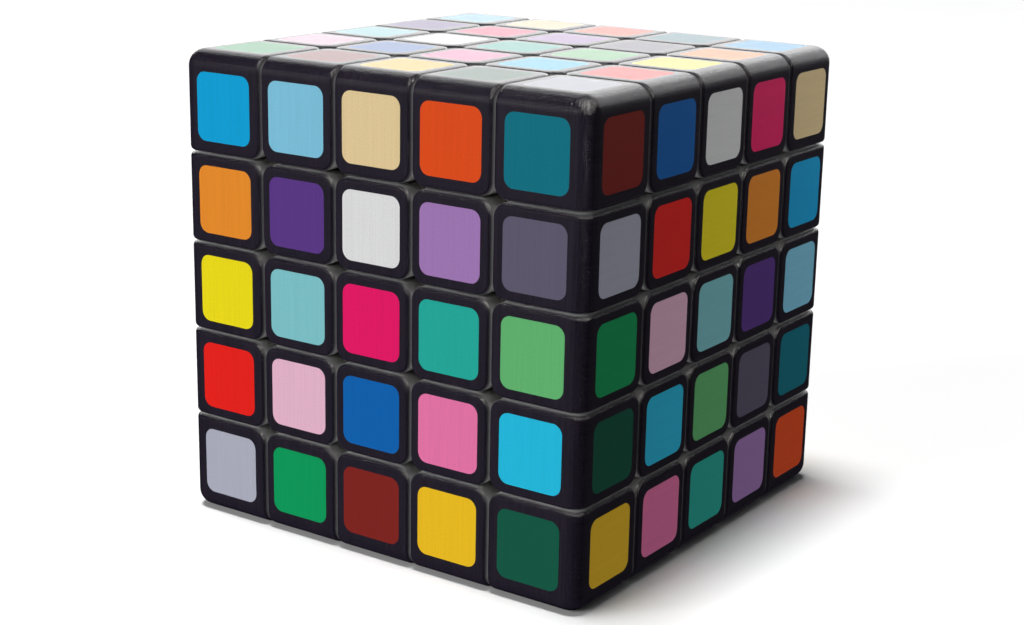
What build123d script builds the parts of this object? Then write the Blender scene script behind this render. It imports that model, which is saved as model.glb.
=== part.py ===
"""A 5 x 5 x 5 twisty puzzle cube, built from the pieces that it comes apart into.

The cube rests on the XY plane with its centre on the Z axis.  Every piece is drawn once about the
cube's centre and then copied to its places by the turns that carry a cube onto itself.

Each cubie is a cap, which is the outside that the hand touches, and a foot, which reaches in towards
the core.  The space of a layer is a solid of revolution about its own turning axis, so a foot is the
space that three layers share, one for each axis.  Spherical steps in those spaces hook every foot
under its neighbours: the screwed fixed centres hold the cross centres, those hold the middle edges
and the diagonal centres, those hold the wing edges, and those hold the corners.
"""
import os
from math import cos, radians, sin, sqrt, tan

from build123d import *

# The cube and its cuts
CUBE = 63.0                 # side of the whole cube
COLUMN = 12.04              # width of each of the three inner columns
GAP = 0.24                  # between two cubies, seen at the surface
HALF = CUBE / 2
OUTER_CUT = 1.5 * COLUMN    # from the centre to the cut below an outer layer
INNER_CUT = 0.5 * COLUMN    # from the centre to the cut beside the middle slice
OUTER_SIDE = OUTER_CUT + GAP / 2
INNER_WIDTH = COLUMN - GAP
OUTER_WIDTH = HALF - OUTER_SIDE

# Rounding of the caps
CUBE_EDGE_ROUND = 2.3       # the cube's own twelve edges
COLUMN_ROUND = 1.9          # corners of a cap where four cubies meet
RIM_ROUND = 0.6             # around the rim of every cap

# Caps, and the feet that plug into them
CAP_DEPTH = 3.0
CAP_WALL = 1.6
PLUG_SLACK = 0.1
PLUG_WALL = 1.5
PLUG_ROOT = 0.5             # how far a plug starts below the cap's lower edge
CENTRE_POCKET = 4.8         # depth of the pocket in a centre's foot
CAP_BASE = HALF - CAP_DEPTH
PLUG_INSET = CAP_WALL + PLUG_SLACK
PLUG_TOP = HALF - PLUG_INSET

# The hooked surfaces between the layers
SLACK = 0.2                 # each side of a hidden cut
STEP_SLACK = 0.15           # each side of a spherical step
OUTER_CONE = 57.5           # half angle of an outer layer above its step
OUTER_HOOK = 64.0           # half angle of an outer layer below its step
OUTER_STEP = 27.0           # radius of that step
INNER_HOOK = 4.0            # from the centre to the inner cut, below its step
INNER_STEP = 21.0           # radius of that step
CORE_SPACE = 14.0           # no foot comes nearer to the centre than this
REACH = 60.0                # well outside the cube

# The core and its fasteners
HUB_RADIUS = 6.5
LEG_RADIUS = 3.6
LEG_LENGTH = 13.2
THREAD_SLACK = 0.02
SCREW_RADIUS = 1.5
SCREW_START = 7.5
HEAD_RADIUS = 2.6
HEAD_BASE = 26.5
HEAD_HEIGHT = 2.0
DRIVE_LENGTH = 3.0
DRIVE_WIDTH = 0.7
DRIVE_DEPTH = 1.2
SCREW_HOLE_RADIUS = 1.65
SPRING_WELL_RADIUS = 3.3
SPRING_WELL_BASE = 20.5
WASHER_RADIUS = 2.9
WASHER_THICKNESS = 0.5
SPRING_RADIUS = 2.6         # to the middle of the wire
SPRING_WIRE = 0.5
SPRING_TURNS = 4
PLAY = 0.05                 # between parts that turn against each other on a screw

# Cubies, each by the middle of its own place: out on the cube's edge, in a column, or in the middle
OUT = HALF - OUTER_WIDTH / 2
CORNER = (OUT, OUT, OUT)
WING_EDGE = (OUT, COLUMN, OUT)
MIDDLE_EDGE = (OUT, 0, OUT)
DIAGONAL_CENTRE = (COLUMN, COLUMN, OUT)
CROSS_CENTRE = (COLUMN, 0, OUT)
FIXED_CENTRE = (0, 0, OUT)

# The five layers across Z, and the height of each from the cube's centre
LAYER_HEIGHTS = {"top": OUT, "upper": COLUMN, "equator": 0, "lower": -COLUMN, "bottom": -OUT}
CUBE_CENTRE = Location((0, 0, HALF))

# For each turning axis, a plane with the radius across it and the axis up it
SECTION_PLANES = {
    "X": (Axis.X, Plane(origin=(0, 0, 0), x_dir=(0, 1, 0), z_dir=(0, 0, -1))),
    "Y": (Axis.Y, Plane(origin=(0, 0, 0), x_dir=(0, 0, 1), z_dir=(-1, 0, 0))),
    "Z": (Axis.Z, Plane.XZ),
}


def on_sphere(radius, angle, lift=0.0):
    """A point of a half section, at an angle in degrees from the axis, raised by a lift."""
    return (radius * sin(radians(angle)), radius * cos(radians(angle)) + lift)


def at_height(radius, height):
    """The point of a half section where a sphere reaches a height."""
    return (sqrt(radius**2 - height**2), height)


def between(radius, first, last):
    """A point on a sphere, about half way between two of its points."""
    across = first[0] + last[0]
    along = first[1] + last[1]
    length = sqrt(across**2 + along**2)
    return (radius * across / length, radius * along / length)


def outer_cut(side):
    """Corner points of the outer cut, seen from above it (side 1) or from below it (side -1)."""
    lift = side * SLACK
    step = OUTER_STEP - side * STEP_SLACK
    height = OUTER_CUT + side * GAP / 2
    hook = on_sphere(step, OUTER_HOOK, lift)
    middle = on_sphere(step, (OUTER_HOOK + OUTER_CONE) / 2, lift)
    shoulder = on_sphere(step, OUTER_CONE, lift)
    brow = ((height - lift) * tan(radians(OUTER_CONE)), height)
    return hook, middle, shoulder, brow


def outer_section():
    """Half section of an outer layer."""
    hook, middle, shoulder, brow = outer_cut(1)
    with BuildSketch() as section:
        with BuildLine():
            Polyline((0, REACH), (0, SLACK), hook)
            ThreePointArc(hook, middle, shoulder)
            Polyline(shoulder, brow, (REACH, brow[1]), (REACH, REACH), (0, REACH))
        make_face()
    return section.sketch


def inner_section():
    """Half section of a slice between an outer layer and the middle slice."""
    hook, middle, shoulder, brow = outer_cut(-1)
    low = INNER_HOOK + SLACK
    high = INNER_CUT + GAP / 2
    step = INNER_STEP - STEP_SLACK
    root = ((low + SLACK) * tan(radians(OUTER_HOOK)), low)
    toe = at_height(step, low)
    heel = at_height(step, high)
    with BuildSketch() as section:
        with BuildLine():
            Polyline(hook, root, toe)
            ThreePointArc(toe, between(step, toe, heel), heel)
            Polyline(heel, (REACH, high), (REACH, brow[1]), brow, shoulder)
            ThreePointArc(shoulder, middle, hook)
        make_face()
    return section.sketch


def middle_section():
    """Half section of the middle slice."""
    low = INNER_HOOK - SLACK
    high = INNER_CUT - GAP / 2
    step = INNER_STEP + STEP_SLACK
    toe = at_height(step, low)
    heel = at_height(step, high)
    with BuildSketch() as section:
        with BuildLine():
            Polyline((0, 0), (0, low), toe)
            ThreePointArc(toe, between(step, toe, heel), heel)
            Polyline(heel, (REACH, high), (REACH, 0), (0, 0))
        make_face()
        mirror(about=Plane.XZ)
    return section.sketch


LAYER_SECTIONS = {OUT: outer_section, COLUMN: inner_section, 0: middle_section}


def span(offset, inset):
    """Lowest and highest coordinate of a cubie along one axis, drawn in by an inset."""
    if offset == OUT:
        return OUTER_SIDE + inset, HALF - inset
    return offset - INNER_WIDTH / 2 + inset, offset + INNER_WIDTH / 2 - inset


def block(ranges, mode):
    """A box given by its lowest and highest coordinate along each axis."""
    sizes = [high - low for low, high in ranges]
    middle = [(high + low) / 2 for low, high in ranges]
    with Locations(tuple(middle)):
        Box(*sizes, mode=mode)


def hollow_cap(cubie):
    """Cut away the foot's space and the hollow inside a cap."""
    foot_space = [(low, CAP_BASE) if offset == OUT else (low - GAP, high + GAP)
                  for offset, (low, high) in zip(cubie, [span(offset, 0) for offset in cubie])]
    block(foot_space, Mode.SUBTRACT)
    block([span(offset, CAP_WALL) for offset in cubie], Mode.SUBTRACT)


def centre_cap(cubie):
    """Square cap of a cubie that shows on one face."""
    with BuildPart() as cap:
        with BuildSketch(Plane.XY.offset(OUTER_SIDE)):
            with Locations((cubie[0], cubie[1])):
                RectangleRounded(INNER_WIDTH, INNER_WIDTH, COLUMN_ROUND)
        extrude(amount=OUTER_WIDTH)
        fillet(cap.faces().sort_by(Axis.Z)[-1].edges(), RIM_ROUND)
        hollow_cap(cubie)
    return cap


def edge_cap(cubie):
    """Cap of a cubie that shows on two faces, on the cube's edge along Y."""
    with BuildPart() as cap:
        with BuildSketch(Plane.XY.offset(OUTER_SIDE)):
            with Locations((cubie[0], cubie[1])):
                Rectangle(OUTER_WIDTH, INNER_WIDTH)
            fillet(vertices().group_by(Axis.X)[0], COLUMN_ROUND)
        extrude(amount=OUTER_WIDTH)
        with BuildSketch(Plane.YZ.offset(OUTER_SIDE)):
            with Locations((cubie[1], cubie[2])):
                Rectangle(INNER_WIDTH, OUTER_WIDTH)
            fillet(vertices().group_by(Axis.Y)[0], COLUMN_ROUND)
        extrude(amount=OUTER_WIDTH, mode=Mode.INTERSECT)
        cube_edge = cap.edges().filter_by(Axis.Y).group_by(Axis.Z)[-1].sort_by(Axis.X)[-1]
        fillet(cube_edge, CUBE_EDGE_ROUND)
        rim = cap.faces().sort_by(Axis.Z)[-1].edges().sort_by(Axis.X)[:-1]
        fillet(rim, RIM_ROUND)
        hollow_cap(cubie)
    return cap


def corner_cap():
    """Cap of a cubie that shows on three faces."""
    with BuildPart() as cap:
        for plane in (Plane.XY, Plane.YZ, Plane.ZX):
            with BuildSketch(plane.offset(OUTER_SIDE)):
                with Locations((OUT, OUT)):
                    Rectangle(OUTER_WIDTH, OUTER_WIDTH)
                fillet(vertices().sort_by_distance((0, 0, 0))[0], COLUMN_ROUND)
            extrude(amount=OUTER_WIDTH, mode=Mode.ADD if plane == Plane.XY else Mode.INTERSECT)
        tip = cap.vertices().sort_by_distance((HALF, HALF, HALF))[0]
        cube_edges = [edge for edge in cap.edges() if (edge @ 0 - tip.center()).length < GAP
                      or (edge @ 1 - tip.center()).length < GAP]
        fillet(cube_edges, CUBE_EDGE_ROUND)
        rim = cap.faces().sort_by(Axis.Z)[-1].edges().sort_by_distance((0, 0, HALF))[:3]
        fillet(rim, RIM_ROUND)
        hollow_cap(CORNER)
    return cap


def foot(cubie):
    """The inner half of a cubie, from the plug in its cap down to the hook beside the core."""
    with BuildPart() as body:
        for offset, (axis, plane) in zip(cubie, SECTION_PLANES.values()):
            with BuildSketch(plane):
                add(LAYER_SECTIONS[offset]())
            revolve(axis=axis, mode=Mode.INTERSECT if body.part else Mode.ADD)
        Box(2 * CAP_BASE, 2 * CAP_BASE, 2 * CAP_BASE, mode=Mode.INTERSECT)
        Sphere(CORE_SPACE, mode=Mode.SUBTRACT)
        plug = [span(offset, PLUG_INSET) for offset in cubie]
        if cubie[0] != OUT:
            plug[2] = (CAP_BASE - PLUG_ROOT, PLUG_TOP)
        block(plug, Mode.ADD)
    return body


def pocketed_foot(cubie):
    """A foot with the pocket that its plug opens into."""
    body = foot(cubie)
    with BuildPart() as hollowed:
        add(body.part)
        pocket = [span(offset, PLUG_INSET + PLUG_WALL) for offset in cubie]
        floor = pocket[2][0] if cubie[0] == OUT else PLUG_TOP - CENTRE_POCKET
        pocket[2] = (floor, HALF)
        block(pocket, Mode.SUBTRACT)
    return hollowed


def fixed_centre_hub():
    """The foot of a fixed centre, bored for its screw and for the spring under the screw's head."""
    body = foot(FIXED_CENTRE)
    with BuildPart() as hub:
        add(body.part)
        with Locations(Plane.XY.offset(PLUG_TOP)):
            CounterBoreHole(SCREW_HOLE_RADIUS, SPRING_WELL_RADIUS, PLUG_TOP - SPRING_WELL_BASE,
                            depth=PLUG_TOP)
    return hub


def core_spider():
    """Six tapped legs on a round hub."""
    with BuildPart() as spider:
        Sphere(HUB_RADIUS)
        for axis in (Axis.X, Axis.Y, Axis.Z):
            for way in (1, -1):
                end = Plane(origin=axis.direction * way * LEG_LENGTH, z_dir=axis.direction * way)
                with BuildSketch(end):
                    Circle(LEG_RADIUS)
                extrude(amount=-LEG_LENGTH)
        for axis in (Axis.X, Axis.Y, Axis.Z):
            for way in (1, -1):
                end = Plane(origin=axis.direction * way * LEG_LENGTH, z_dir=axis.direction * way)
                with Locations(end):
                    Hole(SCREW_RADIUS + THREAD_SLACK, depth=LEG_LENGTH - SCREW_START + PLAY)
    return spider


def tension_screw():
    """Pan-head screw with a crossed recess, along Z from the core."""
    with BuildPart() as screw:
        with BuildSketch(Plane.XY.offset(SCREW_START)):
            Circle(SCREW_RADIUS)
        extrude(amount=HEAD_BASE - SCREW_START)
        with BuildSketch(Plane.XY.offset(HEAD_BASE)):
            Circle(HEAD_RADIUS)
        extrude(amount=HEAD_HEIGHT)
        fillet(screw.faces().sort_by(Axis.Z)[-1].edges(), HEAD_HEIGHT / 3)
        with BuildSketch(Plane.XY.offset(HEAD_BASE + HEAD_HEIGHT)):
            Rectangle(DRIVE_LENGTH, DRIVE_WIDTH)
            Rectangle(DRIVE_WIDTH, DRIVE_LENGTH)
        extrude(amount=-DRIVE_DEPTH, mode=Mode.SUBTRACT)
    return screw


def washer():
    """Flat washer between a screw's head and its spring."""
    with BuildPart() as ring:
        with BuildSketch(Plane.XY.offset(HEAD_BASE - PLAY - WASHER_THICKNESS)):
            Circle(WASHER_RADIUS)
            Circle(SCREW_HOLE_RADIUS, mode=Mode.SUBTRACT)
        extrude(amount=WASHER_THICKNESS)
    return ring


def tension_spring():
    """Coil spring that draws a fixed centre towards the core."""
    foot_of_coil = SPRING_WELL_BASE + SPRING_WIRE / 2 + PLAY
    head_of_coil = HEAD_BASE - WASHER_THICKNESS - SPRING_WIRE / 2 - 2 * PLAY
    height = head_of_coil - foot_of_coil
    with BuildPart() as spring:
        with BuildLine() as path:
            Helix(height / SPRING_TURNS, height, SPRING_RADIUS, center=(0, 0, foot_of_coil))
        with BuildSketch(Plane(origin=path.line @ 0, z_dir=path.line % 0)):
            Circle(SPRING_WIRE / 2)
        sweep(path=path.line)
    return spring


def turns_onto(cubie, layer):
    """Turns of the whole cube that carry a cubie to each of its places in one layer."""
    turns = {}
    for tip in [(0, 0, 0), (90, 0, 0), (180, 0, 0), (270, 0, 0), (0, 90, 0), (0, 270, 0)]:
        for quarter in range(4):
            turn = Location((0, 0, 0), tip) * Location((0, 0, 0), (0, 0, 90 * quarter))
            place = (turn * Location(cubie)).position
            if abs(place.Z - LAYER_HEIGHTS[layer]) < GAP:
                turns.setdefault((round(place.X), round(place.Y), round(place.Z)), turn)
    return [CUBE_CENTRE * turn for turn in turns.values()]


def export(name, piece, places):
    """Write one node, with a copy of the piece at each of its places."""
    with BuildPart() as node:
        with Locations(*places):
            add(piece.part)
    node.part.label = name
    export_step(node.part, f"parts/{name}.step")
    print(f"{name}: {len(node.part.solids())} solids")


def main():
    os.makedirs("parts", exist_ok=True)
    edge_layers = ("top", "bottom")
    slices = ("upper", "lower")

    families = [
        ("corner", CORNER, corner_cap(), edge_layers),
        ("wing_edge", WING_EDGE, edge_cap(WING_EDGE), edge_layers + slices),
        ("middle_edge", MIDDLE_EDGE, edge_cap(MIDDLE_EDGE), edge_layers + ("equator",)),
        ("diagonal_centre", DIAGONAL_CENTRE, centre_cap(DIAGONAL_CENTRE), edge_layers + slices),
        ("cross_centre", CROSS_CENTRE, centre_cap(CROSS_CENTRE), tuple(LAYER_HEIGHTS)),
    ]
    for kind, cubie, cap, layers in families:
        inner = pocketed_foot(cubie)
        for layer in layers:
            places = turns_onto(cubie, layer)
            export(f"{layer}_{kind}_caps", cap, places)
            export(f"{layer}_{kind}_feet", inner, places)

    fixed_pieces = [
        ("fixed_centre_cap", centre_cap(FIXED_CENTRE)),
        ("fixed_centre_hub", fixed_centre_hub()),
        ("tension_spring", tension_spring()),
        ("tension_washer", washer()),
    ]
    for kind, piece in fixed_pieces:
        for layer in edge_layers:
            export(f"{layer}_{kind}", piece, turns_onto(FIXED_CENTRE, layer))
        export(f"equator_{kind}s", piece, turns_onto(FIXED_CENTRE, "equator"))

    all_centres = [place for layer in ("top", "equator", "bottom")
                   for place in turns_onto(FIXED_CENTRE, layer)]
    export("tension_screws", tension_screw(), all_centres)
    export("core_spider", core_spider(), [CUBE_CENTRE])


main()
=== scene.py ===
"""A 5 x 5 x 5 twisty puzzle cube in a plain studio: printed caps built here, the rest from the frame."""
import math

import bmesh
import bpy
from mathutils import Matrix, Vector


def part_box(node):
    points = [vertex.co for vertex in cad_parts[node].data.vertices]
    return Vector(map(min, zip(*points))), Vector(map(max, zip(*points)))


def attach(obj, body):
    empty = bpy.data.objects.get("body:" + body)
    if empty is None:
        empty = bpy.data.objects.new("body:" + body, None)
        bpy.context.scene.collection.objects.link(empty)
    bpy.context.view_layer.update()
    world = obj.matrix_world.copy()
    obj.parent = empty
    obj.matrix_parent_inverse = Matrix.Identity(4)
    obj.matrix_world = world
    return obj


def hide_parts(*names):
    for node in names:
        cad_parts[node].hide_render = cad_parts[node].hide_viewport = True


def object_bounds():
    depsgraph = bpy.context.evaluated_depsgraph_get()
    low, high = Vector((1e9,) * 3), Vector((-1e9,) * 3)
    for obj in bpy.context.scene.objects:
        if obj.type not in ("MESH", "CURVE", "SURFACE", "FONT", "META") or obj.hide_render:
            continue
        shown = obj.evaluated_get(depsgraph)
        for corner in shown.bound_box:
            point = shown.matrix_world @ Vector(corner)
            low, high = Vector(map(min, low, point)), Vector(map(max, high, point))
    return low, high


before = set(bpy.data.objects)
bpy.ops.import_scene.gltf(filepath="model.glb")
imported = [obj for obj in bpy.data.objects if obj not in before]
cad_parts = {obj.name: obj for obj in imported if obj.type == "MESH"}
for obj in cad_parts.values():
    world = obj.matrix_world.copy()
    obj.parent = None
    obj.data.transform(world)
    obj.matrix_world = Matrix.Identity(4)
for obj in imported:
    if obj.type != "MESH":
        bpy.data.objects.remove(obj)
cad_low, cad_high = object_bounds()

# ---------------------------------------------------------------- sizes, in millimetres
MM = 0.001
CENTRE = (cad_low + cad_high) / 2 / MM
HALF = (cad_high.x - cad_low.x) / 2 / MM

centre_low, centre_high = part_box("top_fixed_centre_cap")
corner_low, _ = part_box("top_corner_caps")
middle_low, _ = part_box("equator_fixed_centre_caps")
upper_low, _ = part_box("upper_cross_centre_caps")

INNER_WIDTH = (centre_high.x - centre_low.x) / MM       # an inner cubie, from side to side
OUTER_SIDE = corner_low.z / MM - CENTRE.z               # where an outer cubie begins
COLUMN = (upper_low.z - middle_low.z) / MM              # from one inner cubie to the next
CAP_BASE = centre_low.z / MM - CENTRE.z                 # how deep a cap reaches
OUTER_CUT = OUTER_SIDE - (COLUMN - INNER_WIDTH) / 2

CUBE_EDGE_ROUND = 2.3       # over the cube's own edges
COLUMN_ROUND = 1.9          # at the corners where four cubies meet
RIM_ROUND = 0.6             # down the rim of a cap
CAP_WALL = 1.6
TILE_HALF = 4.51            # half a colour square
TILE_ROUND = 1.35           # at its corners
TILE_IN = 6.22              # from an outer cubie's cut to the middle of its colour squares

ARC_STEPS = 8               # around a corner of a colour square or a column
ROLL_STEPS = 12             # over the cube's own edges
RIM_STEPS = 6               # down the rim of a cap

# ---------------------------------------------------------------- colours
# Each ink as it looks, in 8-bit sRGB, in a light that shows the white ink at 217.
INKS = {
    "azure": (0, 154, 207), "sky": (121, 187, 213), "sand": (220, 196, 148),
    "vermilion": (218, 73, 20), "petrol": (5, 109, 126), "orange": (225, 135, 38),
    "violet": (87, 53, 130), "white": (217, 217, 217), "lilac": (155, 116, 175),
    "slate": (92, 87, 107), "lemon": (231, 214, 13), "aqua": (122, 189, 196),
    "magenta": (224, 14, 98), "turquoise": (30, 165, 151), "leaf": (95, 176, 109),
    "red": (227, 26, 19), "blush": (224, 176, 198), "cobalt": (2, 94, 171),
    "pink": (225, 113, 163), "cyan": (28, 182, 218), "silver": (168, 170, 185),
    "green": (0, 150, 87), "maroon": (126, 33, 28), "gold": (233, 185, 25),
    "forest": (15, 87, 67),
}
INK_GAIN = 1.16             # from how an ink looks there to how much light it gives back
INK_UNEVEN = 0.08           # how far the print lines and grain lighten and darken it

# Each face as it is seen from outside, the top row first. The top face has the front below it.
FRONT = """
azure sky sand vermilion petrol
orange violet white lilac slate
lemon aqua magenta turquoise leaf
red blush cobalt pink cyan
silver green maroon gold forest
"""
RIGHT = """
maroon cobalt white magenta sand
silver red lemon orange azure
green blush aqua violet sky
forest cyan leaf slate petrol
gold pink turquoise lilac vermilion
"""
TOP = """
sky sand vermilion petrol azure
violet magenta lilac slate orange
aqua white turquoise leaf lemon
blush cobalt pink cyan red
green maroon gold forest silver
"""


def rows(text, shift=0):
    """The rows of a face, each moved round by a number of places."""
    table = [line.split() for line in text.split("\n") if line]
    return [line[shift:] + line[:shift] for line in table]


# For each face, its outward normal, its right and its up as it is seen, and its rows
FACES = [
    (Vector((0, -1, 0)), Vector((1, 0, 0)), Vector((0, 0, 1)), rows(FRONT)),
    (Vector((1, 0, 0)), Vector((0, 1, 0)), Vector((0, 0, 1)), rows(RIGHT)),
    (Vector((0, 0, 1)), Vector((1, 0, 0)), Vector((0, 1, 0)), rows(TOP)),
    (Vector((0, 1, 0)), Vector((-1, 0, 0)), Vector((0, 0, 1)), rows(TOP, 2)),
    (Vector((-1, 0, 0)), Vector((0, -1, 0)), Vector((0, 0, 1)), rows(RIGHT, 3)),
    (Vector((0, 0, -1)), Vector((1, 0, 0)), Vector((0, -1, 0)), rows(FRONT, 3)),
]


def ink_name(place, outward):
    """The ink on one side of the cubie at a place, counted from -2 to 2 along each axis."""
    for normal, right, up, table in FACES:
        if normal.dot(outward) > 0.5:
            column = round(place.dot(right)) + 2
            row = 2 - round(place.dot(up))
            return table[row][column]


# ---------------------------------------------------------------- materials
# Noise on the printed caps, in waves to the millimetre
PRINT_LINES = (3.4, 0.06, 1.0)  # close together one way and long the other
PRINT_GRAIN = 5.5
RIM_LINES = 14.0                # down the rim
INK_SPACING = 3.7               # between the stretches of noise that two inks take

# Noise through an object, in waves to the metre
BLACK_PATCHES = 500.0
METAL_MARKS = 900.0
SKIN_FINENESS = 12              # how much finer a plastic's skin is than its flow marks

# The largest part of a normal where a surface starts to lean off a flat side, and on a full lean
FLAT = 0.995
LEANING = 0.85

INK_SPECULAR = 0.2
BLACK_SPECULAR = 0.35
DENSE_BLACK = (0.009, 0.008, 0.014, 1)
PLUM_BLACK = (0.034, 0.021, 0.034, 1)
BLUE_BLACK = (0.022, 0.020, 0.040, 1)
THIN_PRINT = (0.42, 0.42, 0.43, 1)
BARE_FROM = 0.92                # how thin the black is where plastic begins to show through
BARE_TO = 1.22                  # and where it is all that shows


def linear(value):
    """An 8-bit sRGB value as linear light."""
    value /= 255
    return value / 12.92 if value <= 0.04045 else ((value + 0.055) / 1.055) ** 2.4


def new_material(name):
    """An empty node material with its shader, and a short way to add and join nodes."""
    material = bpy.data.materials.new(name)
    material.use_nodes = True
    tree = material.node_tree
    shader = tree.nodes["Principled BSDF"]

    def node(kind, inputs=None, **settings):
        made = tree.nodes.new(kind)
        for key, value in settings.items():
            setattr(made, key, value)
        for key, value in (inputs or {}).items():
            if isinstance(value, bpy.types.NodeSocket):
                tree.links.new(value, made.inputs[key])
            else:
                made.inputs[key].default_value = value
        return made

    return material, tree, shader, node


def drive(tree, output, shader, socket):
    tree.links.new(output, shader.inputs[socket])


def calculated(node, operation, *values):
    return node("ShaderNodeMath", dict(enumerate(values)), operation=operation).outputs[0]


def print_marks(node, seed=0.0):
    """What a print head leaves: fine straight lines, and grains of ink, each from 0 to 1."""
    place = node("ShaderNodeUVMap", uv_map="print").outputs["UV"]
    stretched = node("ShaderNodeMapping", {"Vector": place, "Scale": PRINT_LINES,
                                           "Location": (seed, 0.0, seed)})
    lines = node("ShaderNodeTexNoise", {"Vector": stretched.outputs["Vector"], "Scale": 1.0,
                                        "Detail": 3.0, "Roughness": 0.7})
    grains = node("ShaderNodeTexNoise", {"Vector": place, "Scale": PRINT_GRAIN, "Detail": 3.0,
                                         "Roughness": 0.7})
    return lines.outputs["Fac"], grains.outputs["Fac"]


def slant(node):
    """How far the surface leans away from the flat sides of the cube, from 0 to 1."""
    normal = node("ShaderNodeTexCoord").outputs["Normal"]
    parts = node("ShaderNodeSeparateXYZ", {"Vector": normal})
    sizes = [calculated(node, "ABSOLUTE", parts.outputs[i]) for i in range(3)]
    flattest = calculated(node, "MAXIMUM", calculated(node, "MAXIMUM", sizes[0], sizes[1]), sizes[2])
    return ranged(node, flattest, FLAT, LEANING, 0.0, 1.0)


def mixed(node, low, high, factor):
    """A colour between two others."""
    return node("ShaderNodeMix", {0: factor, 6: low, 7: high}, data_type="RGBA").outputs[2]


def ranged(node, value, low, high, to_low, to_high):
    return node("ShaderNodeMapRange", {"Value": value, "From Min": low, "From Max": high,
                                       "To Min": to_low, "To Max": to_high}).outputs["Result"]


def ink_material(name):
    """A printed colour square: flat ink with print lines, grain and a low sheen."""
    material, tree, shader, node = new_material(f"ink_{name}")
    r, g, b = [linear(value) * INK_GAIN for value in INKS[name]]
    lines, grains = print_marks(node, seed=INK_SPACING * list(INKS).index(name))
    marks = calculated(node, "MULTIPLY_ADD", grains, 2.0, lines)
    strength = ranged(node, marks, 1.1, 1.9, 0.0, 1.0)
    dark = [value * (1 - INK_UNEVEN) for value in (r, g, b)] + [1]
    light = [min(value * (1 + INK_UNEVEN), 1) for value in (r, g, b)] + [1]
    drive(tree, mixed(node, dark, light, strength), shader, "Base Color")
    drive(tree, ranged(node, grains, 0.3, 0.7, 0.38, 0.46), shader, "Roughness")
    shader.inputs["Specular IOR Level"].default_value = INK_SPECULAR
    bump = node("ShaderNodeBump", {"Height": marks, "Strength": 0.3, "Distance": 0.00002})
    drive(tree, bump.outputs["Normal"], shader, "Normal")
    return material


def black_print_material():
    """The black around the colour squares. It thins out in lines as it runs down the rim."""
    material, tree, shader, node = new_material("black_print")
    lines, grains = print_marks(node)
    leaning = slant(node)
    place = node("ShaderNodeTexCoord").outputs["Object"]
    patches = node("ShaderNodeTexNoise", {"Vector": place, "Scale": BLACK_PATCHES, "Detail": 1.0})
    marks = calculated(node, "ADD", grains, lines)
    strength = ranged(node, marks, 0.75, 1.3, 0.0, 1.0)
    tint = mixed(node, PLUM_BLACK, BLUE_BLACK, patches.outputs["Fac"])
    ink = mixed(node, DENSE_BLACK, tint, strength)

    depth = node("ShaderNodeAttribute", attribute_name="rim").outputs["Fac"]
    ragged = calculated(node, "MULTIPLY_ADD", patches.outputs["Fac"], 0.12, depth)
    steps = node("ShaderNodeTexNoise", {"W": calculated(node, "MULTIPLY", ragged, RIM_LINES),
                                        "Scale": 1.0, "Detail": 2.0, "Roughness": 0.7},
                 noise_dimensions="1D")
    thinning = calculated(node, "MULTIPLY_ADD", steps.outputs["Fac"], 0.7, depth)
    bare = ranged(node, thinning, BARE_FROM, BARE_TO, 0.0, 1.0)
    drive(tree, mixed(node, ink, THIN_PRINT, bare), shader, "Base Color")

    drive(tree, ranged(node, leaning, 0.0, 1.0, 0.40, 0.16), shader, "Roughness")
    shader.inputs["Specular IOR Level"].default_value = BLACK_SPECULAR
    rough_skin = calculated(node, "MULTIPLY", grains, 2.0)
    relief = calculated(node, "MULTIPLY_ADD", leaning, rough_skin,
                        calculated(node, "MULTIPLY", marks, 0.12))
    relief = calculated(node, "MULTIPLY_ADD", steps.outputs["Fac"], 0.8, relief)
    bump = node("ShaderNodeBump", {"Height": relief, "Strength": 0.8, "Distance": 0.00006})
    drive(tree, bump.outputs["Normal"], shader, "Normal")
    return material


def plastic_material(name, low, high, roughness, scale, depth):
    """Moulded plastic with faint flow marks and a fine skin."""
    material, tree, shader, node = new_material(name)
    place = node("ShaderNodeTexCoord").outputs["Object"]
    flow = node("ShaderNodeTexNoise", {"Vector": place, "Scale": scale, "Detail": 3.0})
    skin = node("ShaderNodeTexNoise", {"Vector": place, "Scale": scale * SKIN_FINENESS,
                                       "Detail": 2.0})
    drive(tree, mixed(node, low, high, flow.outputs["Fac"]), shader, "Base Color")
    drive(tree, ranged(node, flow.outputs["Fac"], 0.3, 0.7, roughness * 0.8, roughness * 1.2),
          shader, "Roughness")
    bump = node("ShaderNodeBump", {"Height": skin.outputs["Fac"], "Strength": 0.3,
                                   "Distance": depth})
    drive(tree, bump.outputs["Normal"], shader, "Normal")
    return material


def metal_material(name, low, high, roughness, stretch):
    """Plated or drawn steel with marks that run one way."""
    material, tree, shader, node = new_material(name)
    place = node("ShaderNodeTexCoord").outputs["Object"]
    turned = node("ShaderNodeMapping", {"Vector": place, "Scale": stretch})
    marks = node("ShaderNodeTexNoise", {"Vector": turned.outputs["Vector"], "Scale": METAL_MARKS,
                                        "Detail": 3.0})
    shader.inputs["Metallic"].default_value = 1.0
    drive(tree, mixed(node, low, high, marks.outputs["Fac"]), shader, "Base Color")
    drive(tree, ranged(node, marks.outputs["Fac"], 0.3, 0.7, roughness * 0.7, roughness * 1.3),
          shader, "Roughness")
    bump = node("ShaderNodeBump", {"Height": marks.outputs["Fac"], "Strength": 0.2,
                                   "Distance": 0.00002})
    drive(tree, bump.outputs["Normal"], shader, "Normal")
    return material


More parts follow.
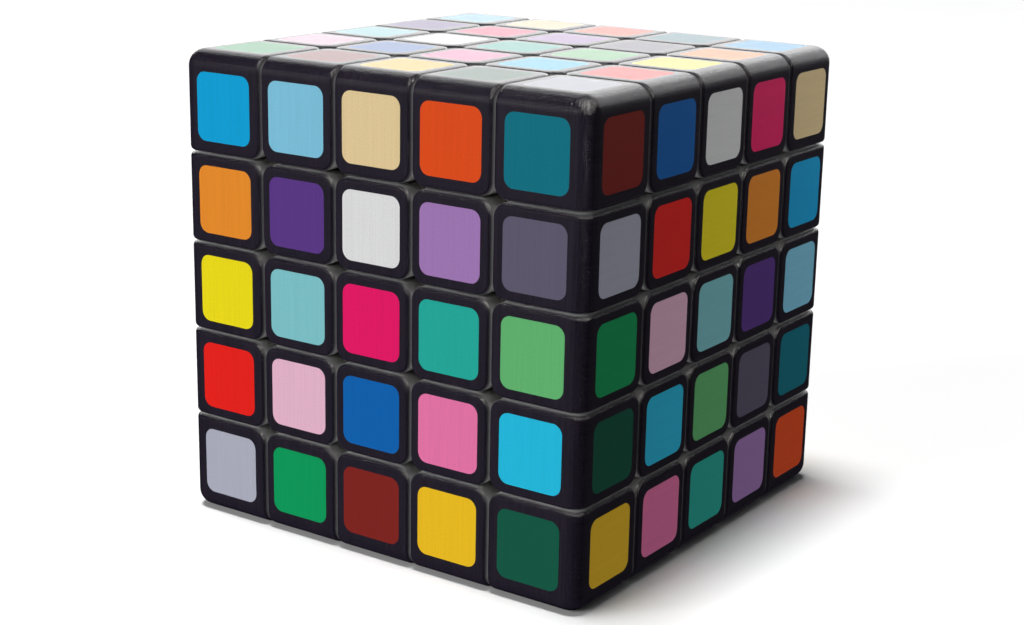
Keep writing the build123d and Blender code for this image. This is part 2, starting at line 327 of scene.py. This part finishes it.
BLACK_PRINT = black_print_material()
BARE_PLASTIC = plastic_material("bare_plastic", (0.60, 0.60, 0.60, 1), (0.70, 0.70, 0.69, 1),
                                0.4, 400.0, 0.00002)
# The inner parts are grey plastic like the cap walls. Their dark olive here is painted shade, standing
# in for the shade deep in the gaps where four cubies meet
INNER_PARTS_PAINTED_SHADE = plastic_material("inner_plastic", (0.060, 0.058, 0.045, 1),
                                 (0.10, 0.096, 0.078, 1), 0.35, 250.0, 0.00002)
CORE_PLASTIC = plastic_material("core_plastic", (0.70, 0.68, 0.60, 1), (0.80, 0.79, 0.72, 1),
                                0.4, 250.0, 0.00002)
PLATED_STEEL = metal_material("plated_steel", (0.50, 0.50, 0.52, 1), (0.66, 0.66, 0.66, 1),
                              0.3, (1.0, 1.0, 6.0))
SPRING_STEEL = metal_material("spring_steel", (0.40, 0.40, 0.43, 1), (0.55, 0.55, 0.57, 1),
                              0.28, (3.0, 3.0, 3.0))
INK_MATERIALS = {name: ink_material(name) for name in INKS}


# ---------------------------------------------------------------- caps
AXES = (Vector((1, 0, 0)), Vector((0, 1, 0)), Vector((0, 0, 1)))
BLACK, BARE, FIRST_INK = 0, 1, 2    # material slots of a cap; the inks follow, one per outer side


class Skin:
    """A closed mesh built point by point, in which equal points are one vertex."""

    def __init__(self):
        self.mesh = bmesh.new()
        self.depth = self.mesh.verts.layers.float.new("rim")
        self.found = {}

    def vertex(self, point):
        key = tuple(round(value, 4) for value in point)
        if key not in self.found:
            self.found[key] = self.mesh.verts.new(point)
        return self.found[key]

    def sink(self, points, depth):
        """Note how far down the rim some points lie."""
        for point in points:
            self.vertex(point)[self.depth] = depth

    def face(self, points, slot):
        """A face through the points, left out where they fall together."""
        corners = []
        for point in points:
            vertex = self.vertex(point)
            if vertex not in corners:
                corners.append(vertex)
        if len(corners) > 2:
            made = self.mesh.faces.new(corners)
            made.material_index = slot
            made.smooth = True

    def strip(self, first, second, slot, closed=True):
        """Faces between two rings of as many points."""
        count = len(first)
        for i in range(count if closed else count - 1):
            j = (i + 1) % count
            self.face((first[i], second[i], second[j], first[j]), slot)


def quarter(radius, corner, steps):
    """The arc round one corner of a rounded square: its offsets from the arc's centre."""
    start = corner * math.pi / 2
    return [(radius * math.cos(start + i / steps * math.pi / 2),
             radius * math.sin(start + i / steps * math.pi / 2)) for i in range(steps + 1)]


class Cap:
    """The cap of a cubie whose outer sides face along the given axes, 0 to 2."""

    def __init__(self, outer):
        self.outer = outer
        self.skin = Skin()
        for axis in outer:
            self.colour_square(axis)
            self.border(axis)
        for first, second in self.rolls():
            self.roll(first, second)
        if len(outer) == 3:
            self.vertex_ball()
        self.rim_and_wall()
        bmesh.ops.recalc_face_normals(self.skin.mesh, faces=self.skin.mesh.faces)

    def side_axes(self, axis):
        return (axis + 1) % 3, (axis + 2) % 3

    def rolls(self):
        """Pairs of outer axes that meet at an edge of the cube, each in turning order."""
        if len(self.outer) == 3:
            return [(0, 1), (1, 2), (2, 0)]
        return [(2, 0)] if len(self.outer) == 2 else []

    def low(self, axis):
        """Where the flat part of a side begins along another axis."""
        return (OUTER_SIDE if axis in self.outer else -INNER_WIDTH / 2) + RIM_ROUND

    def high(self, axis):
        return HALF - CUBE_EDGE_ROUND if axis in self.outer else INNER_WIDTH / 2 - RIM_ROUND

    def tile_middle(self, axis):
        return OUTER_CUT + TILE_IN if axis in self.outer else 0.0

    def on_side(self, axis, across, up, height=HALF):
        point = Vector((0, 0, 0))
        u, v = self.side_axes(axis)
        point[axis] = height
        point[u] = across
        point[v] = up
        return point

    def tile_corner(self, axis, corner):
        """The points round one corner of a colour square, and the middle of their arc."""
        u, v = self.side_axes(axis)
        inner = TILE_HALF - TILE_ROUND
        across = self.tile_middle(u) + (inner if corner in (0, 3) else -inner)
        up = self.tile_middle(v) + (inner if corner in (0, 1) else -inner)
        arc = [self.on_side(axis, across + x, up + y)
               for x, y in quarter(TILE_ROUND, corner, ARC_STEPS)]
        return arc, self.on_side(axis, across, up)

    def colour_square(self, axis):
        slot = FIRST_INK + self.outer.index(axis)
        corners = [self.tile_corner(axis, corner) for corner in range(4)]
        for i, (arc, middle) in enumerate(corners):
            for first, second in zip(arc, arc[1:]):
                self.skin.face((middle, first, second), slot)
            next_arc, next_middle = corners[(i + 1) % 4]
            self.skin.face((middle, arc[-1], next_arc[0], next_middle), slot)
        self.skin.face([middle for _, middle in corners], slot)

    def rounded(self, axis, corner):
        """True at a corner of a side where four cubies meet."""
        u, v = self.side_axes(axis)
        beside_u = corner in (0, 3) and u in self.outer
        beside_v = corner in (0, 1) and v in self.outer
        return not (beside_u or beside_v)

    def outline_corner(self, axis, corner):
        """The points round one corner of a side's flat part, and the way out at each."""
        u, v = self.side_axes(axis)
        across = self.high(u) if corner in (0, 3) else self.low(u)
        up = self.high(v) if corner in (0, 1) else self.low(v)
        if not self.rounded(axis, corner):
            return [self.on_side(axis, across, up)], [None]
        radius = COLUMN_ROUND - RIM_ROUND
        across += -radius if corner in (0, 3) else radius
        up += -radius if corner in (0, 1) else radius
        turns = quarter(1.0, corner, ARC_STEPS)
        points = [self.on_side(axis, across + radius * x, up + radius * y) for x, y in turns]
        return points, [self.on_side(axis, x, y, 0.0) for x, y in turns]

    def border(self, axis):
        """The flat black between a colour square and the rim."""
        outline = [self.outline_corner(axis, corner)[0] for corner in range(4)]
        tile = [self.tile_corner(axis, corner)[0] for corner in range(4)]
        for corner in range(4):
            if len(outline[corner]) > 1:
                self.skin.strip(tile[corner], outline[corner], BLACK, closed=False)
            else:
                for first, second in zip(tile[corner], tile[corner][1:]):
                    self.skin.face((first, outline[corner][0], second), BLACK)
            following = (corner + 1) % 4
            self.skin.face((tile[corner][-1], outline[corner][-1], outline[following][0],
                            tile[following][0]), BLACK)

    def roll_ring(self, first, second, along):
        """Points over the cube's edge between two sides, with the normal at each."""
        third = 3 - first - second
        hub = Vector((0, 0, 0))
        hub[first] = HALF - CUBE_EDGE_ROUND
        hub[second] = HALF - CUBE_EDGE_ROUND
        hub[third] = along
        ring = []
        for i in range(ROLL_STEPS + 1):
            angle = i / ROLL_STEPS * math.pi / 2
            normal = AXES[first] * math.cos(angle) + AXES[second] * math.sin(angle)
            ring.append((hub + normal * CUBE_EDGE_ROUND, normal))
        return ring

    def roll(self, first, second):
        """The rounding over an edge of the cube."""
        third = 3 - first - second
        start = [point for point, _ in self.roll_ring(first, second, self.low(third))]
        end = [point for point, _ in self.roll_ring(first, second, self.high(third))]
        self.skin.strip(start, end, BLACK, closed=False)

    def vertex_ball(self):
        """The rounding at a vertex of the cube."""
        hub = Vector([HALF - CUBE_EDGE_ROUND] * 3)
        net = []
        for i in range(ROLL_STEPS + 1):
            tilt = i / ROLL_STEPS * math.pi / 2
            line = []
            for j in range(i + 1):
                turn = (j / i if i else 0.0) * math.pi / 2
                way = Vector((math.sin(tilt) * math.cos(turn), math.sin(tilt) * math.sin(turn),
                              math.cos(tilt)))
                line.append(hub + way * CUBE_EDGE_ROUND)
            net.append(line)
        for upper, lower in zip(net, net[1:]):
            for j in range(len(upper)):
                self.skin.face((upper[j], lower[j], lower[j + 1]), BLACK)
                if j:
                    self.skin.face((upper[j - 1], lower[j], upper[j]), BLACK)

    def rim_chain(self):
        """The edge of the outer skin, all the way round: each point, its normal and the way out."""
        chain = []
        axis = 2
        for _ in self.outer:
            u, v = self.side_axes(axis)
            u_rolls, v_rolls = u in self.outer, v in self.outer
            corners = [1, 2, 3] if v_rolls else [0, 1, 2, 3]
            if v_rolls and not u_rolls:
                corners.append(0)
            for corner in corners:
                points, ways = self.outline_corner(axis, corner)
                for point, way in zip(points, ways):
                    chain.append((point, AXES[axis], way))
            if not (u_rolls or v_rolls):
                break
            following = u if u_rolls else v
            third = 3 - axis - following
            last = chain[-1][0]
            ring = self.roll_ring(axis, following, last[third])
            way = AXES[third] * (1 if last[third] > self.low(third) + RIM_ROUND else -1)
            chain[-1] = (last, AXES[axis], way)
            chain += [(point, normal, way) for point, normal in ring[1:-1]]
            chain.append((None, None, way))
            axis = following
        return self.joined(chain)

    def joined(self, chain):
        """Hand the way out on from the end of each roll to the side that it reaches."""
        result = []
        waiting = None
        for point, normal, way in chain:
            if point is None:
                waiting = way
                continue
            result.append((point, normal, way or waiting))
        if waiting is not None and result[0][2] is None:
            result[0] = (result[0][0], result[0][1], waiting)
        return result

    def held_under(self, point, limit):
        """The point, brought in to a limit along each outer axis."""
        held = point.copy()
        for axis in self.outer:
            held[axis] = min(held[axis], limit)
        return held

    def rim_and_wall(self):
        chain = self.rim_chain()
        rings = []
        for i in range(RIM_STEPS + 1):
            angle = i / RIM_STEPS * math.pi / 2
            rings.append([point + way * RIM_ROUND * math.sin(angle)
                          - normal * RIM_ROUND * (1 - math.cos(angle))
                          for point, normal, way in chain])
        for i, (first, second) in enumerate(zip(rings, rings[1:])):
            self.skin.strip(first, second, BLACK)
            self.skin.sink(second, RIM_ROUND * (i + 1) / RIM_STEPS * math.pi / 2)
        outside = [self.held_under(point + way * RIM_ROUND, CAP_BASE)
                   for point, normal, way in chain]
        inside = [self.held_under(point + way * (RIM_ROUND - CAP_WALL), CAP_BASE)
                  for point, normal, way in chain]
        ceiling = [self.held_under(point + way * (RIM_ROUND - CAP_WALL), HALF - CAP_WALL)
                   for point, normal, way in chain]
        self.skin.strip(rings[-1], outside, BARE)
        self.skin.strip(outside, inside, BARE)
        self.skin.strip(inside, ceiling, BARE)
        self.ceilings(ceiling)

    def ceilings(self, ring):
        """The underside of each outer wall."""
        for axis in self.outer:
            on_it = [abs(point[axis] - (HALF - CAP_WALL)) < 1e-6 for point in ring]
            start = 0
            while on_it[start - 1] and not all(on_it):
                start -= 1
            while not on_it[start]:
                start += 1
            order = [ring[(start + i) % len(ring)] for i in range(len(ring))]
            points = [point for point in order if abs(point[axis] - (HALF - CAP_WALL)) < 1e-6]
            if len(self.outer) == 3:
                points.append(Vector([HALF - CAP_WALL] * 3))
            self.skin.face(points, BARE)


def cube_turns():
    """The 24 turns that carry a cube onto itself."""
    turns = []
    for x in AXES + tuple(-axis for axis in AXES):
        for y in AXES + tuple(-axis for axis in AXES):
            if abs(x.dot(y)) < 0.5:
                turns.append(Matrix((x, y, x.cross(y))).transposed())
    return turns


def set_print_uv(mesh):
    """A map in millimetres with the print lines along its second axis."""
    layer = mesh.uv_layers.new(name="print")
    for polygon in mesh.polygons:
        size = [abs(value) for value in polygon.normal]
        flat = size.index(max(size))
        across, along = ((2, 1), (0, 2), (0, 1))[flat]
        for loop in polygon.loop_indices:
            point = mesh.vertices[mesh.loops[loop].vertex_index].co / MM
            layer.data[loop].uv = (point[across], point[along])


LAYERS = {2: "top", 1: "upper", 0: "equator", -1: "lower", -2: "bottom"}
BODIES = {2: "top_layer", 1: "upper_slice", 0: "equator_slice", -1: "lower_slice",
          -2: "bottom_layer"}


def cubie_kind(place):
    """The kind of the cubie at a place, as the CAD nodes name it."""
    inner = [round(abs(value)) for value in place if abs(value) < 1.5]
    if len(inner) == 0:
        return "corner"
    if len(inner) == 1:
        return "wing_edge" if inner[0] else "middle_edge"
    return ("fixed_centre", "cross_centre", "diagonal_centre")[sum(inner)]


def build_caps():
    shapes = {1: Cap([2]), 2: Cap([2, 0]), 3: Cap([0, 1, 2])}
    turns = cube_turns()
    counts = {}
    span = range(-2, 3)
    for place in [Vector((x, y, z)) for z in span for y in span for x in span]:
        outward = [Vector([round(place[i]) // 2 if i == axis else 0 for i in range(3)])
                   for axis in range(3) if abs(place[axis]) > 1.5]
        if not outward:
            continue
        shape = shapes[len(outward)]
        aim = sum(outward, Vector((0, 0, 0)))
        start = sum((AXES[axis] for axis in shape.outer), Vector((0, 0, 0)))
        turn = next(turn for turn in turns if (turn @ start - aim).length < 0.1)
        shift = Vector([value * COLUMN if abs(value) < 1.5 else 0.0 for value in place])

        kind = cubie_kind(place)
        level = round(place.z)
        node = f"{LAYERS[level]}_{kind}_caps"
        if kind == "fixed_centre" and abs(level) == 2:
            node = node[:-1]
        counts[node] = counts.get(node, 0) + 1

        name = f"{LAYERS[level]}_{kind}_printed_cap_{counts[node]}"
        mesh = bpy.data.meshes.new(name)
        shape.skin.mesh.to_mesh(mesh)
        mesh.transform(Matrix.Scale(MM, 4) @ Matrix.Translation(CENTRE + shift) @ turn.to_4x4())
        mesh.materials.append(BLACK_PRINT)
        mesh.materials.append(BARE_PLASTIC)
        for axis in shape.outer:
            mesh.materials.append(INK_MATERIALS[ink_name(place, turn @ AXES[axis])])
        set_print_uv(mesh)
        piece = bpy.data.objects.new(name, mesh)
        bpy.context.scene.collection.objects.link(piece)
        smooth = piece.modifiers.new("even shading", "WEIGHTED_NORMAL")
        smooth.weight = 100
        smooth.keep_sharp = True
        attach(piece, BODIES[level])
        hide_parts(node)


# ---------------------------------------------------------------- inner parts
def dress_inner_parts():
    """Give every CAD node that stays its material."""
    finishes = (("spring", SPRING_STEEL), ("washer", PLATED_STEEL), ("screws", PLATED_STEEL),
                ("spider", CORE_PLASTIC), ("feet", INNER_PARTS_PAINTED_SHADE), ("hub", INNER_PARTS_PAINTED_SHADE))
    for name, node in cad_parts.items():
        for word, material in finishes:
            if word in name:
                node.data.materials.clear()
                node.data.materials.append(material)


# ---------------------------------------------------------------- studio, in metres and watts
WHITE = (1.0, 1.0, 1.0)
WARM = (1.0, 0.97, 0.90)
FLOOR_HALF = 3.0

# Each lamp that is aimed at the cube: its name, place, size, power and colour, the rays that
# don't see it, and whether it lights the floor
LAMPS = (
    ("key_softbox", (-0.45, -0.95, 0.30), (0.70, 0.50), 8.9, WHITE, ("glossy",), True),
    ("key_glint", (-0.45, -0.95, 0.32), (0.10, 0.10), 1.0, WARM, ("diffuse",), False),
    ("corner_glint", (0.44, -0.32, 0.76), (0.22, 0.22), 18.0, WARM, ("diffuse",), False),
    ("overhead_softbox", (-0.04, 0.0, 0.80), (0.12, 0.12), 1.6, WHITE, (), False),
    ("back_card", (-0.42, 1.20, 0.42), (1.90, 0.75), 9.8, WHITE, (), False),
    ("back_sheen", (-0.90, 1.20, 0.46), (1.40, 0.80), 7.0, WHITE, ("diffuse",), False),
    ("right_fill", (0.10, 0.12, 0.06), (0.05, 0.05), 0.04, WHITE, ("camera", "glossy"), False),
)

# The light that a white floor gives back, kept apart from the floor so that it can be set
GLOW_PLACE = (0, 0, 0.0005)
GLOW_SIZE = (1.2, 1.2)
GLOW_POWER = 1.6

FLOOR_LIGHT_PLACE = (-0.50, -0.20, 5.00)
FLOOR_LIGHT_SIZE = (1.20, 1.20)
FLOOR_LIGHT_POWER = 260.0

SKY_COLOUR = (0.96, 0.98, 1.0, 1)
SKY_STRENGTH = 0.06


def area_light(name, place, aim, size, power, colour=WHITE, unseen_by=()):
    data = bpy.data.lights.new(name, "AREA")
    data.shape = "RECTANGLE"
    data.size, data.size_y = size
    data.energy = power
    data.color = colour
    light = bpy.data.objects.new(name, data)
    light.location = place
    light.rotation_euler = (Vector(aim) - Vector(place)).to_track_quat("-Z", "Y").to_euler()
    bpy.context.scene.collection.objects.link(light)
    for rays in unseen_by:
        setattr(light, f"visible_{rays}", False)
    return light


def floor_material():
    material, tree, shader, node = new_material("pale_floor")
    place = node("ShaderNodeTexCoord").outputs["Object"]
    paper = node("ShaderNodeTexNoise", {"Vector": place, "Scale": 30.0, "Detail": 3.0})
    drive(tree, mixed(node, (0.90, 0.90, 0.90, 1), (0.93, 0.93, 0.93, 1), paper.outputs["Fac"]),
          shader, "Base Color")
    shader.inputs["Roughness"].default_value = 0.9
    shader.inputs["Specular IOR Level"].default_value = 0.0
    return material


def floor_group(floor, name, state):
    """A light-linking group that takes in the floor alone, or leaves it alone out."""
    group = bpy.data.collections.new(name)
    group.objects.link(floor)
    group.collection_objects[0].light_linking.link_state = state
    return group


def build_floor():
    """A floor that the cube's surfaces don't see, so it neither lights them nor shows in them."""
    mesh = bpy.data.meshes.new("studio_floor")
    mesh.from_pydata([(-FLOOR_HALF, -FLOOR_HALF, 0), (FLOOR_HALF, -FLOOR_HALF, 0),
                      (FLOOR_HALF, FLOOR_HALF, 0), (-FLOOR_HALF, FLOOR_HALF, 0)],
                     [], [(0, 1, 2, 3)])
    mesh.materials.append(floor_material())
    floor = bpy.data.objects.new("studio_floor", mesh)
    bpy.context.scene.collection.objects.link(floor)
    floor.visible_glossy = False
    floor.visible_diffuse = False
    return floor


def build_studio():
    floor = build_floor()
    middle = CENTRE * MM
    off_floor = []
    for name, place, size, power, colour, unseen_by, lights_floor in LAMPS:
        light = area_light(name, place, middle, size, power, colour, unseen_by)
        if not lights_floor:
            off_floor.append(light)
    straight_up = (0, 0, 1)
    area_light("floor_glow", GLOW_PLACE, straight_up, GLOW_SIZE, GLOW_POWER,
               unseen_by=("camera", "glossy"))
    lamp = area_light("floor_light", FLOOR_LIGHT_PLACE, (0, 0, 0), FLOOR_LIGHT_SIZE,
                      FLOOR_LIGHT_POWER)
    lamp.light_linking.receiver_collection = floor_group(floor, "lit_floor", "INCLUDE")
    unlit = floor_group(floor, "unlit_floor", "EXCLUDE")
    for light in off_floor:
        light.light_linking.receiver_collection = unlit

    world = bpy.data.worlds.new("studio")
    world.use_nodes = True
    sky = world.node_tree.nodes["Background"]
    sky.inputs["Color"].default_value = SKY_COLOUR
    sky.inputs["Strength"].default_value = SKY_STRENGTH
    world.cycles_visibility.glossy = False
    bpy.context.scene.world = world
    bpy.context.scene.view_settings.view_transform = "Standard"


# ---------------------------------------------------------------- camera
LENS = 64.9
SENSOR_WIDTH = 36.0
CAMERA_PLACE = Vector((139.8, -204.4, 62.3))        # from the cube's centre, in millimetres
CAMERA_BACK = Vector((0.5453, -0.7957, 0.2637))     # the way it looks, turned round
CAMERA_RIGHT = Vector((0.8218, 0.5695, 0.0192))


def build_camera():
    """The camera stands off the cube's front right edge, a little above it."""
    data = bpy.data.cameras.new("camera")
    data.sensor_width = SENSOR_WIDTH
    data.lens = LENS
    data.clip_start = 0.01
    camera = bpy.data.objects.new("camera", data)
    bpy.context.scene.collection.objects.link(camera)
    up = CAMERA_BACK.cross(CAMERA_RIGHT)
    camera.matrix_world = Matrix.Translation((CAMERA_PLACE + CENTRE) * MM) @ Matrix(
        (CAMERA_RIGHT, up, CAMERA_BACK)).transposed().to_4x4()
    bpy.context.scene.camera = camera


build_camera()
build_caps()
dress_inner_parts()
build_studio()
